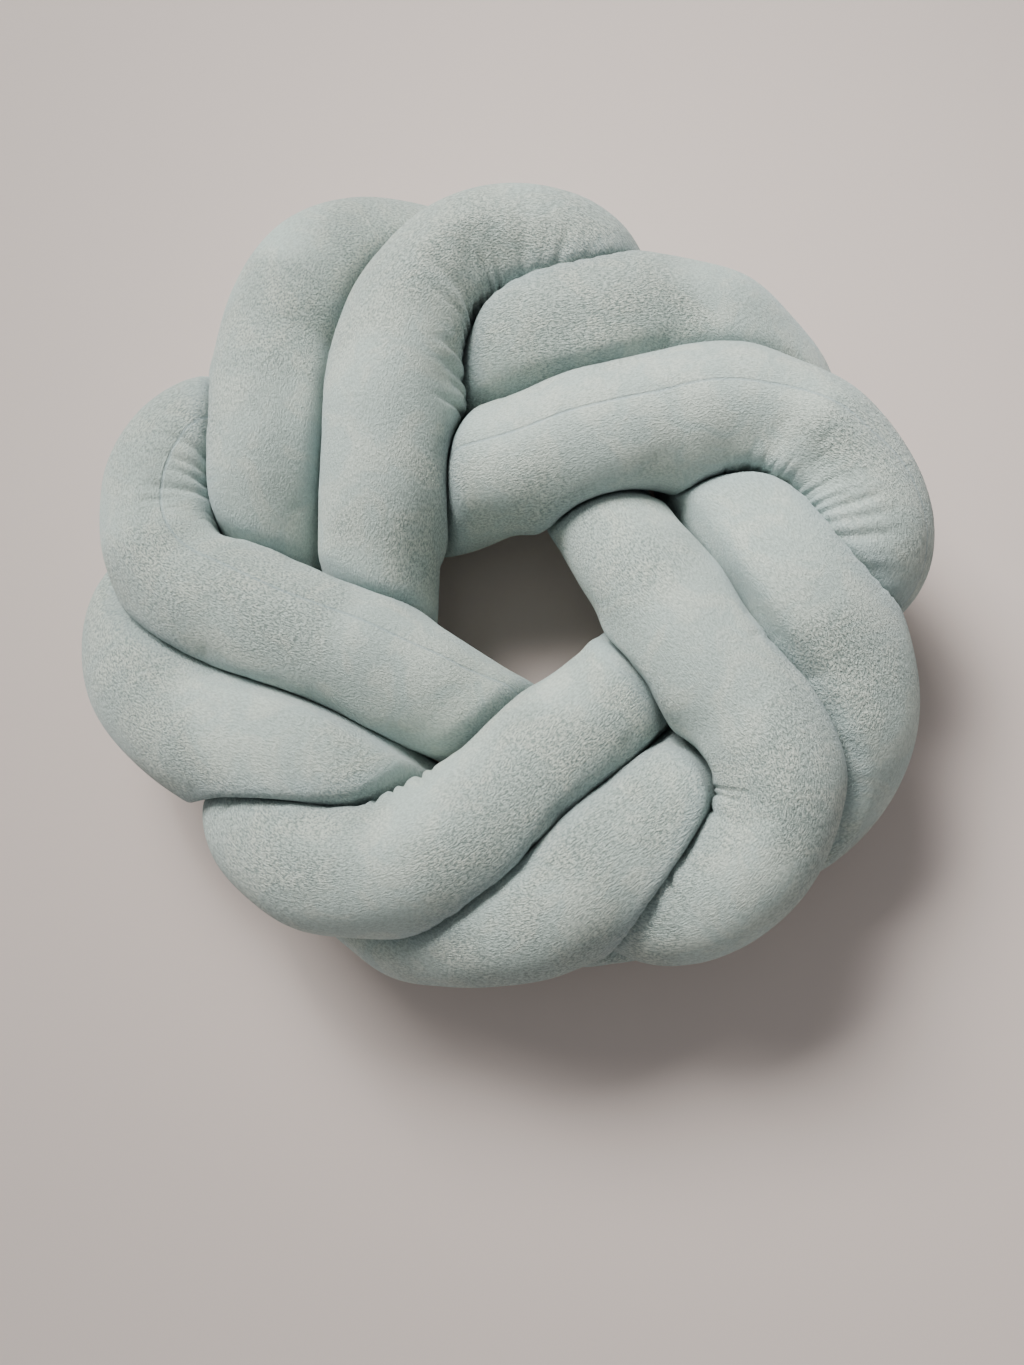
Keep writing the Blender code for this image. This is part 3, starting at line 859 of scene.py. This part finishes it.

# %% [markdown]
# The colour runs from the plain dusty aqua to a paler one where the pile is brushed, darker
# between the tufts, and painted deeper and bluer in the creases, as shade where light has passed
# through more pile. An image could be painted for it, but noise in metres keeps its scale on
# every tube.

# %% Plush
PLUSH = (0.505, 0.60, 0.555, 1.0)
PLUSH_BRUSHED = (0.64, 0.695, 0.61, 1.0)
PLUSH_ROOTS = (0.25, 0.31, 0.28, 1.0)
# painted shade for the creases between the tubes, and also the dark colour of the sewn line
PLUSH_SHADE_AND_SEAM = (0.33, 0.43, 0.455, 1.0)
SHEEN_TINT = (0.85, 0.95, 1.0, 1.0)
# how many there are in a metre: streaks of the grain, tufts, brushed patches and wide drifts
GRAIN, TUFTS, PATCHES, DRIFTS = 1350.0, 1050.0, 42.0, 11.0
STREAK = 0.42  # the grain is drawn out along the tube by its scale there
GRAIN_SHARE = 0.6  # of the mottle, where the tufts make the rest
PATCH_SHARE = 0.65  # of the brushed colour, where the drifts make the rest
LEAST_STANDING = 0.5  # how far the pile stands where it is brushed flattest
CREASE_SHADE_SHARE = 0.4  # how far the painted shade darkens the colour in a crevice
SEAM_SHARE = 0.45  # how far the colour darkens on the sewn line
SEAM_LINE = (0.0002, 0.0011)  # where the sewn line starts and ends to fade, m from its middle
PILE_HEIGHT = 0.0030  # m
PATCH_HEIGHT = 0.0006
SEAM_SINKS = 0.0005


def plush(name):
    """The plush: brushed patches, streaky grain, painted crease shade, a sewn line, a sheen."""
    material = bpy.data.materials.new(name)
    material.use_nodes = True
    material.node_tree.nodes.clear()
    start = Wire(material.node_tree)
    place = start.node("ShaderNodeTexCoord", {}, {}, output="Object")
    cloth = start.node("ShaderNodeUVMap", {"uv_map": "cloth"}, {})
    around = start.node("ShaderNodeSeparateXYZ", {}, {"Vector": cloth})
    crevice = start.node("ShaderNodeAttribute", {"attribute_name": "crevice"}, {}, output="Fac")
    lie = start.node("ShaderNodeMapping", {}, {"Vector": cloth, "Scale": (1.0, STREAK, 1.0)})
    grain = lie.noise(GRAIN, detail=2.0, roughness=0.6, distortion=0.3)
    tufts = place.noise(TUFTS, detail=2.0, roughness=0.6, distortion=0.5)
    patches = place.noise(PATCHES, detail=3.0, roughness=0.55, distortion=1.2)
    drifts = place.noise(DRIFTS, detail=2.0)
    patchy = PATCH_SHARE * patches.between(0.42, 0.60)
    brushed = patchy + (1.0 - PATCH_SHARE) * drifts.between(0.35, 0.65)
    mottle = GRAIN_SHARE * grain + (1.0 - GRAIN_SHARE) * tufts
    stands = LEAST_STANDING + (1.0 - LEAST_STANDING) * drifts.between(0.42, 0.58)
    seam = 1.0 - abs(around).between(*SEAM_LINE)
    colour = brushed.blend(PLUSH, PLUSH_BRUSHED)
    colour = (mottle.between(0.59, 0.40) * stands).blend(colour, PLUSH_ROOTS)
    # painted shade: the colour is darkened and blued where the next tube lies near, in the creases
    colour = (crevice * CREASE_SHADE_SHARE).blend(colour, PLUSH_SHADE_AND_SEAM)
    colour = (seam * SEAM_SHARE).blend(colour, PLUSH_SHADE_AND_SEAM)
    height = PILE_HEIGHT * stands * mottle + PATCH_HEIGHT * patches - SEAM_SINKS * seam
    bump_sockets = {"Height": height, "Strength": 0.8, "Distance": 1.0}
    shader_sockets = {
        "Base Color": colour,
        "Roughness": 0.92,
        "Specular IOR Level": 0.2,
        "Sheen Weight": 0.35,
        "Sheen Roughness": 0.45,
        "Sheen Tint": SHEEN_TINT,
        "Normal": start.node("ShaderNodeBump", {}, bump_sockets),
    }
    shader = start.node("ShaderNodeBsdfPrincipled", {}, shader_sockets)
    start.node("ShaderNodeOutputMaterial", {}, {"Surface": shader})
    return material


plush_material = plush("dusty_aqua_plush")
for piece, tube in zip(pieces, TUBES):
    piece.data.materials.append(plush_material)
    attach(piece, "root")
    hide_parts(tube + "_tube")
print(plush_material.name, "has", len(plush_material.node_tree.nodes), "nodes")

# %% [markdown]
# ## Floor, light and camera
# The cushion lies on its back on a plain floor, pale and warm, beside which the plush looks
# cool. The plane from Blender's menu would do as well; four points make the same one.

# %% Floor
FLOOR_SIDE = 6.0
FLOOR_COLOUR = (0.61, 0.525, 0.485, 1.0)
floor_mesh = bpy.data.meshes.new("floor")
half = FLOOR_SIDE / 2.0
corners = [(-half, -half, 0.0), (half, -half, 0.0), (half, half, 0.0), (-half, half, 0.0)]
floor_mesh.from_pydata(corners, [], [(0, 1, 2, 3)])
floor = bpy.data.objects.new("floor", floor_mesh)
bpy.context.scene.collection.objects.link(floor)
floor_material = bpy.data.materials.new("pale_floor")
floor_material.use_nodes = True
floor_shader = floor_material.node_tree.nodes["Principled BSDF"]
floor_shader.inputs["Base Color"].default_value = FLOOR_COLOUR
floor_shader.inputs["Roughness"].default_value = 0.8
floor_mesh.materials.append(floor_material)
print(floor.name, "is", FLOOR_SIDE, "m wide")

# %% [markdown]
# The light is that of a room with one wide window at the upper left, a small softbox nearer by
# on the same side and a dim even light from all round. Lights could be turned by hand, but
# aimed at a named point they stay true when they are moved.

# %% Light
# name, place, the point it faces, side in m, watts, spread in degrees, colour
LIGHTS = (
    ("window", (-1.7, 2.3, 2.7), (0.0, 0.0, 0.05), 1.6, 165.0, 180.0, (1.0, 0.99, 0.96)),
    ("softbox", (-0.25, 0.85, 1.1), (0.17, 0.02, 0.08), 0.5, 1.8, 50.0, (1.0, 0.99, 0.97)),
)
ROOM_COLOUR = (0.97, 0.98, 1.0, 1.0)
ROOM_STRENGTH = 0.33


def soft_light(name, place, target, size, watts, spread, colour):
    """A square soft light at a place, facing a target, that shines over a spread in degrees."""
    light = bpy.data.lights.new(name, "AREA")
    light.size = size
    light.energy = watts
    light.spread = math.radians(spread)
    light.color = colour
    item = bpy.data.objects.new(name, light)
    item.location = place
    aim = Vector(target) - Vector(place)
    item.rotation_euler = aim.to_track_quat("-Z", "Y").to_euler()
    bpy.context.scene.collection.objects.link(item)
    return item


for light_row in LIGHTS:
    print("light", soft_light(*light_row).name)
world = bpy.data.worlds.new("room")
world.use_nodes = True
background = world.node_tree.nodes["Background"]
background.inputs["Color"].default_value = ROOM_COLOUR
background.inputs["Strength"].default_value = ROOM_STRENGTH
bpy.context.scene.world = world

# %% [markdown]
# The camera looks down on the cushion's face from a little in front, at the distance that a
# hand-held picture has. Its place follows from a point inside the knot, the tilt towards it,
# and where that point is seen in the picture.

# %% Camera
PICTURE = (1024, 1365)
LONG_SIDE_VIEW = math.radians(67.0)
CAMERA_AWAY = 0.52  # m from the target
CAMERA_TILT = math.radians(12.0)  # off straight down
CAMERA_LEAN = math.radians(30.0)  # the way it tilts: 0 is towards the photo's bottom
TARGET = OPEN_MIDDLE * MM + np.array([0.0, 0.0, 0.055])
TARGET_SEEN = (508.0, 590.0)  # where the target is seen in the picture
SENSOR = 24.0
NEAREST_SEEN = 0.01  # m

focus = PICTURE[1] / 2.0 / math.tan(LONG_SIDE_VIEW / 2.0)
tip_away = math.sin(CAMERA_TILT)
back = np.array([
    tip_away * math.sin(CAMERA_LEAN), -tip_away * math.cos(CAMERA_LEAN), math.cos(CAMERA_TILT)
])
up = np.array([0.0, 1.0, 0.0]) - back[1] * back
up /= np.linalg.norm(up)
right = np.cross(up, back)
seen_right = (TARGET_SEEN[0] - PICTURE[0] / 2.0) / focus * CAMERA_AWAY
seen_up = (PICTURE[1] / 2.0 - TARGET_SEEN[1]) / focus * CAMERA_AWAY
position = TARGET + back * CAMERA_AWAY - right * seen_right - up * seen_up

camera_data = bpy.data.cameras.new("camera")
camera_data.sensor_fit = "VERTICAL"
camera_data.sensor_height = SENSOR
camera_data.lens = SENSOR * focus / PICTURE[1]
camera_data.clip_start = NEAREST_SEEN
camera = bpy.data.objects.new("camera", camera_data)
turned = np.identity(4)
turned[:3, 0], turned[:3, 1], turned[:3, 2], turned[:3, 3] = right, up, back, position
camera.matrix_world = Matrix(turned.tolist())
bpy.context.scene.collection.objects.link(camera)
bpy.context.scene.camera = camera
print("camera at", position.round(3).tolist(), "lens", round(camera_data.lens, 2))
